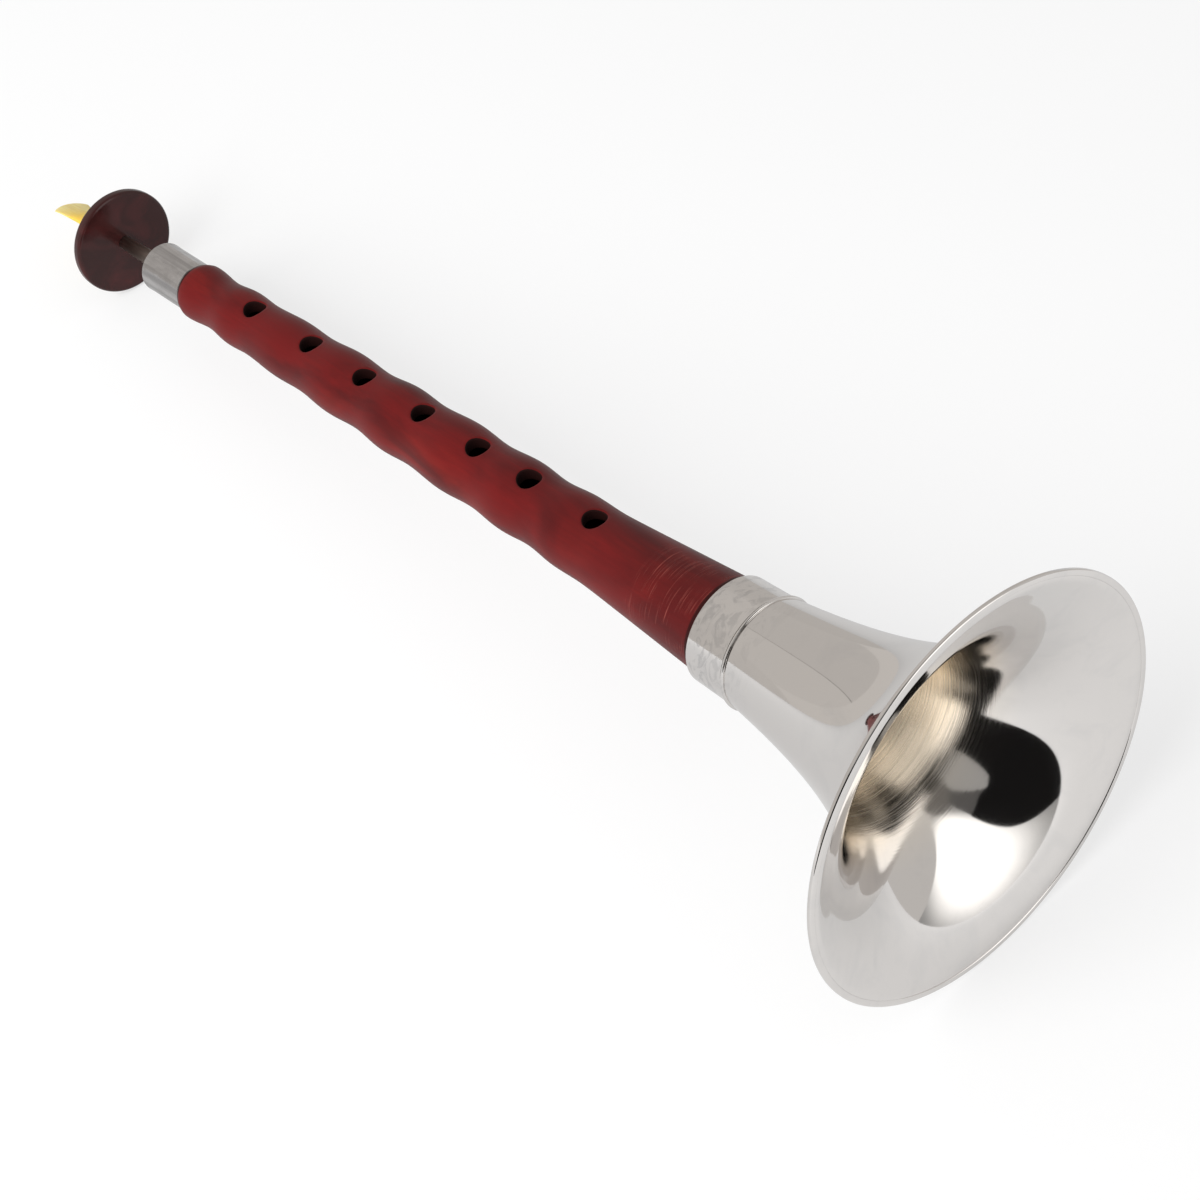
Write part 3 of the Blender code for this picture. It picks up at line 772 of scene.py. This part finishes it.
reed = dict(
    root=0.4014, length=0.0286, rootWall=0.0007, rootLength=0.0072, rootGap=0.0003,
    tipWidth=0.0136, tipThickness=0.0017, blade=0.0005, widthExponent=0.85, thicknessExponent=0.7,
    tipBow=0.0022, turn=radians(-67.6), sides=64, steps=44)
wire = dict(radius=0.00025, gap=0.0003, turns=5, pitch=0.0009, setback=0.0012, pointsPerTurn=32)


def stapleRadius(station):
    fraction = (station - staple["foot"]) / (staple["tip"] - staple["foot"])
    return staple["footRadius"] + (staple["tipRadius"] - staple["footRadius"]) * fraction


reedRootRadius = stapleRadius(reed["root"]) + reed["rootGap"] + reed["rootWall"]


def reedSection(fraction):
    fan = max(0.0, (fraction * reed["length"] - reed["rootLength"]) / (reed["length"] - reed["rootLength"]))
    width = reedRootRadius + (reed["tipWidth"] / 2 - reedRootRadius) * fan ** reed["widthExponent"]
    thickness = reedRootRadius + (reed["tipThickness"] / 2 - reedRootRadius) * smoothStep(
        fan ** reed["thicknessExponent"])
    cane = reed["rootWall"] + (reed["blade"] - reed["rootWall"]) * fan
    return width * snug, thickness * snug, cane


def buildReed():
    points = []
    faces = []
    sides = reed["sides"]
    sections = []
    for step in range(reed["steps"] + 1):
        width, thickness, cane = reedSection(step / reed["steps"])
        sections.append((width, thickness, step / reed["steps"]))
    for step in range(reed["steps"], -1, -1):
        width, thickness, cane = reedSection(step / reed["steps"])
        sections.append((width - cane, thickness - cane, step / reed["steps"]))
    for width, thickness, fraction in sections:
        for side in range(sides):
            angle = 2 * pi * side / sides
            across = width * cos(angle)
            up = thickness * sin(angle)
            recess = reed["tipBow"] * (cos(angle) ** 2) * fraction ** 6
            points.append((across * cos(reed["turn"]) - up * sin(reed["turn"]),
                           across * sin(reed["turn"]) + up * cos(reed["turn"]),
                           reed["root"] + fraction * reed["length"] - recess))
    count = len(sections)
    for row in range(count):
        following = (row + 1) % count
        for side in range(sides):
            across = (side + 1) % sides
            faces.append((row * sides + side, row * sides + across,
                          following * sides + across, following * sides + side))
    piece = makePiece("caneReed", points, faces, [caneMaterial()], None, 40.0)
    dressNode(piece, "reed", "cane", "reed")


brassLook = dict(
    colour=(0.72, 0.48, 0.20), tarnish=(0.35, 0.20, 0.08), roughness=0.15, tarnishRoughness=0.3)


def brassMaterial():
    look = brassLook
    material, tree, shader = newMaterial("brassWire", look["colour"], look["roughness"], 1.0)
    place = axisSpace(tree)
    tarnish = noise(tree, stretched(tree, place, 500.0, 500.0), 1.0, 3.0, 0.6)
    mask = ramp(tree, tarnish, [(0.45, 0.0), (0.7, 0.8)])
    tree.links.new(blendColours(tree, mask, look["colour"], look["tarnish"]), shader.inputs["Base Color"])
    roughness = calc(tree, "MULTIPLY_ADD", tarnish, look["tarnishRoughness"], look["roughness"])
    tree.links.new(roughness, shader.inputs["Roughness"])
    return material


def buildWire():
    curve = bpy.data.curves.new("reedWire", "CURVE")
    curve.dimensions = "3D"
    curve.bevel_depth = wire["radius"]
    curve.bevel_resolution = 4
    curve.use_fill_caps = True
    radius = reedRootRadius + wire["gap"] + wire["radius"]
    count = wire["turns"] * wire["pointsPerTurn"] + 1
    spline = curve.splines.new("POLY")
    spline.points.add(count - 1)
    for index, point in enumerate(spline.points):
        turn = index / wire["pointsPerTurn"]
        angle = 2 * pi * turn
        point.co = (radius * cos(angle), radius * sin(angle),
                    reed["root"] + wire["setback"] + wire["pitch"] * turn, 1.0)
    curve.materials.append(brassMaterial())
    curve.transform(axisMatrix)
    piece = bpy.data.objects.new("reedWire", curve)
    bpy.context.scene.collection.objects.link(piece)
    dressNode(piece, "reed", "brass_wire", "reed_binding")


buildReed()
buildWire()
print("reed built")


# Studio: pale floor, soft lamps, and panels that only the metal sees

studio = dict(
    floorSize=6.0, floorColour=(0.88, 0.88, 0.88), floorGlow=0.60, worldStrength=0.62,
    mirroredBehind=0.56, mirroredFront=0.86, behindAt=0.12, frontAt=0.30,
    poolPlace=(0.60, 0.16, 0.0), poolSize=0.34, poolGlow=0.34,
    keyPlace=(0.05, -1.15, 0.85), keyAim=(0.0, 0.0, 0.03), keySize=1.0, keyPower=22.0, cardReach=0.415)

# Cards round the bell's mouth, by compass angle in degrees and height in metres.
# An edge is (angle, low, high).
cards = dict(
    blackCard=dict(glow=0.010, colour=(1.0, 0.95, 0.95), behind=0.0,
                   edges=((-84, 0.0, 0.38), (-72, 0.0, 0.365), (-44, 0.0, 0.355), (-36, 0.0, 0.40),
                          (-29, 0.0, 0.50), (-22, 0.0, 0.54), (-4, 0.0, 0.58), (-0.5, 0.0, 0.20))),
    softbox=dict(glow=1.65, colour=(1.0, 0.99, 0.97), behind=0.01,
                 edges=((-5, 0.0, 1.0), (22, 0.0, 1.0), (49, 0.0, 1.0)),
                 fade=dict(angle=24, height=0.35, halfAngle=30, below=0.36, above=0.62,
                           near=0.70, far=1.25, edge=0.36)),
    dimWall=dict(glow=0.11, colour=(1.0, 0.97, 0.95), behind=0.03,
                 edges=((-36, 0.3, 1.15), (-20, 0.3, 1.15), (-3, 0.3, 1.15))),
    leftWall=dict(glow=0.38, colour=(1.0, 0.985, 0.965), behind=0.03,
                  edges=((-100, 0.0, 1.15), (-34, 0.0, 1.15))),
    rightWall=dict(glow=0.63, colour=(1.0, 0.97, 0.94), behind=0.03,
                   edges=((47, 0.0, 1.15), (110, 0.0, 1.15))))

# Flat walls and ceilings further off; the back wall has a darker seam and a lighter band under it
room = dict(
    back=-1.15, near=0.40, front=1.00, left=-0.95, right=1.05, height=1.15, colour=(1.0, 0.955, 0.91),
    backLeft=0.62, backRight=0.58, band=0.66, bandHeight=0.26, sideLeft=0.60, sideRight=0.56,
    frontCeiling=0.16, backCeiling=0.62, ceilingSplit=-0.05,
    seam=0.15, seamPlace=-0.13, seamGap=0.004, seamWidth=0.02, seamBehind=0.01)


def card(name, corners, faces, glow, colour, fade=None):
    # A glowing card in the room that shows only in reflections
    mesh = bpy.data.meshes.new(name)
    mesh.from_pydata(corners, [], faces)
    item = bpy.data.objects.new(name, mesh)
    bpy.context.scene.collection.objects.link(item)
    material = bpy.data.materials.new(name)
    material.use_nodes = True
    tree = material.node_tree
    tree.nodes.clear()
    light = addNode(tree, "ShaderNodeEmission", {"Color": (*colour, 1.0), "Strength": glow})
    if fade:
        # Brightest in the middle, and falling off as an egg shape that is taller above
        place = addNode(tree, "ShaderNodeTexCoord").outputs["Object"]
        turned = addNode(tree, "ShaderNodeMapping", {
            "Vector": place, "Location": bearing(fade["angle"], studio["cardReach"], fade["height"]),
            "Rotation": (0.0, 0.0, radians(fade["angle"]))}, vector_type="TEXTURE").outputs[0]
        parts = splitPlace(tree, turned)
        across = calc(tree, "DIVIDE", parts["Y"], studio["cardReach"] * radians(fade["halfAngle"]))
        up = calc(tree, "MAXIMUM", calc(tree, "DIVIDE", parts["Z"], fade["above"]),
                  calc(tree, "DIVIDE", parts["Z"], -fade["below"]))
        away = squareRootOfSquares(tree, across, up)
        level = addNode(tree, "ShaderNodeMapRange", {
            "Value": away, "From Min": fade["near"], "From Max": fade["far"],
            "To Min": glow, "To Max": fade["edge"]}, interpolation_type="SMOOTHSTEP")
        tree.links.new(level.outputs[0], light.inputs["Strength"])
    addNode(tree, "ShaderNodeOutputMaterial", {"Surface": light.outputs[0]})
    mesh.materials.append(material)
    item.visible_camera = False
    item.visible_diffuse = False
    item.visible_shadow = False
    item.visible_transmission = False


def bearing(angle, reach, height):
    # A point seen from the bell's mouth at that compass angle and distance
    centre = lay["mouthCentre"]
    return (centre[0] + reach * cos(radians(angle)), centre[1] + reach * sin(radians(angle)), height)


def curvedCard(name, values, steps=12):
    # The card follows an arc, and its low and high edges run straight between the given ones
    corners = []
    reach = studio["cardReach"] + values["behind"]
    for (start, low, high), (end, nextLow, nextHigh) in zip(values["edges"], values["edges"][1:]):
        for step in range(steps + 1):
            share = step / steps
            angle = start + (end - start) * share
            corners.append(bearing(angle, reach, low + (nextLow - low) * share))
            corners.append(bearing(angle, reach, high + (nextHigh - high) * share))
    faces = [(index, index + 2, index + 3, index + 1) for index in range(0, len(corners) - 2, 2)]
    card(name, corners, faces, values["glow"], values["colour"], values.get("fade"))


def flatCard(name, corners, glow):
    card(name, corners, [(0, 1, 2, 3)], glow, room["colour"])


def buildRoom():
    for name, values in cards.items():
        curvedCard(name, values)
    top, base, back, near = room["height"], room["bandHeight"], room["back"], room["near"]
    left, right, middle, split = room["left"], room["right"], room["seamPlace"], room["ceilingSplit"]
    behind = back - room["seamBehind"]
    for name, place, start, end, low, high, glow in (
            ("backWallLeft", back, left, middle - room["seamGap"], base, top, "backLeft"),
            ("backWallRight", back, middle + room["seamGap"], right, base, top, "backRight"),
            ("backBand", back, left, right, 0.0, base, "band"),
            ("backSeam", behind, middle - room["seamWidth"], middle + room["seamWidth"], base, top, "seam")):
        flatCard(name, [(place, start, low), (place, end, low), (place, end, high), (place, start, high)],
                 room[glow])
    for name, side, glow in (("sideWallLeft", left, "sideLeft"), ("sideWallRight", right, "sideRight")):
        flatCard(name, [(back, side, 0.0), (near, side, 0.0), (near, side, top), (back, side, top)],
                 room[glow])
    for name, start, end in (("frontCeiling", split, room["front"]), ("backCeiling", back, split)):
        flatCard(name, [(start, left, top), (end, left, top), (end, right, top), (start, right, top)],
                 room[name])


def seenOrMirrored(tree, ray):
    # 1 for what the camera sees, directly, in metal or through glass
    return calc(tree, "MAXIMUM", ray.outputs["Is Camera Ray"],
                calc(tree, "MAXIMUM", ray.outputs["Is Glossy Ray"], ray.outputs["Is Transmission Ray"]))


def buildFloor():
    half = studio["floorSize"] / 2
    mesh = bpy.data.meshes.new("floor")
    corners = [(-half, -half, 0.0), (half, -half, 0.0), (half, half, 0.0), (-half, half, 0.0)]
    mesh.from_pydata(corners, [], [(0, 1, 2, 3)])
    item = bpy.data.objects.new("floor", mesh)
    bpy.context.scene.collection.objects.link(item)
    item.location.z = -0.0001
    material = bpy.data.materials.new("paleFloor")
    material.use_nodes = True
    tree = material.node_tree
    tree.nodes.clear()
    paint = addNode(tree, "ShaderNodeBsdfDiffuse", {"Color": (*studio["floorColour"], 1.0)})
    white = addNode(tree, "ShaderNodeEmission", {"Color": (1.0, 1.0, 1.0, 1.0), "Strength": 1.0})
    ray = addNode(tree, "ShaderNodeLightPath")
    seen = seenOrMirrored(tree, ray)
    # In the metal the floor is a table: dimmer behind the bell, with a pool of light before it
    place = addNode(tree, "ShaderNodeTexCoord").outputs["Object"]
    forward = splitPlace(tree, place)["X"]
    level = addNode(tree, "ShaderNodeMapRange", {
        "Value": forward, "From Min": studio["behindAt"], "From Max": studio["frontAt"],
        "To Min": studio["mirroredBehind"], "To Max": studio["mirroredFront"]}).outputs[0]
    away = addNode(tree, "ShaderNodeVectorMath", {0: place, 1: studio["poolPlace"]}, operation="DISTANCE")
    pool = addNode(tree, "ShaderNodeMapRange", {
        "Value": away.outputs["Value"], "From Min": 0.0, "From Max": studio["poolSize"],
        "To Min": studio["poolGlow"], "To Max": 0.0}, interpolation_type="SMOOTHSTEP").outputs[0]
    mirrored = addNode(tree, "ShaderNodeMix", {
        0: ray.outputs["Is Glossy Ray"], 2: 1.0, 3: calc(tree, "ADD", level, pool)})
    tree.links.new(mirrored.outputs[0], white.inputs["Strength"])
    mixed = addNode(tree, "ShaderNodeMixShader", {
        0: calc(tree, "MULTIPLY", seen, studio["floorGlow"]), 1: paint.outputs[0], 2: white.outputs[0]})
    addNode(tree, "ShaderNodeOutputMaterial", {"Surface": mixed.outputs[0]})
    mesh.materials.append(material)


def buildWorld():
    world = bpy.data.worlds.new("studio")
    bpy.context.scene.world = world
    world.use_nodes = True
    tree = world.node_tree
    tree.nodes.clear()
    ray = addNode(tree, "ShaderNodeLightPath")
    seen = seenOrMirrored(tree, ray)
    strength = addNode(tree, "ShaderNodeMapRange", {
        "Value": seen, "To Min": studio["worldStrength"], "To Max": 1.0})
    back = addNode(tree, "ShaderNodeBackground", {
        "Color": (1.0, 1.0, 1.0, 1.0), "Strength": strength.outputs[0]})
    addNode(tree, "ShaderNodeOutputWorld", {"Surface": back.outputs[0]})


def buildLamp():
    light = bpy.data.lights.new("keyLamp", "AREA")
    light.size = studio["keySize"]
    light.energy = studio["keyPower"]
    lamp = bpy.data.objects.new("keyLamp", light)
    bpy.context.scene.collection.objects.link(lamp)
    lamp.location = studio["keyPlace"]
    aim = Vector(studio["keyAim"]) - lamp.location
    lamp.rotation_euler = aim.to_track_quat("-Z", "Y").to_euler()
    lamp.visible_glossy = False


view = dict(
    lens=75.0, sensor=36.0, place=(0.45194, -0.28460, 0.57031), turn=(40.8839, 5.7709, 47.2434))


def buildCamera():
    camera = bpy.data.cameras.new("camera")
    camera.lens = view["lens"]
    camera.sensor_width = view["sensor"]
    camera.clip_start = 0.01
    camera.clip_end = 50.0
    item = bpy.data.objects.new("camera", camera)
    bpy.context.scene.collection.objects.link(item)
    item.location = view["place"]
    item.rotation_euler = [radians(angle) for angle in view["turn"]]
    bpy.context.scene.camera = item


buildFloor()
buildWorld()
buildRoom()
buildLamp()
buildCamera()
bpy.context.scene.view_settings.view_transform = "Standard"
print("studio built")

bpy.context.view_layer.update()
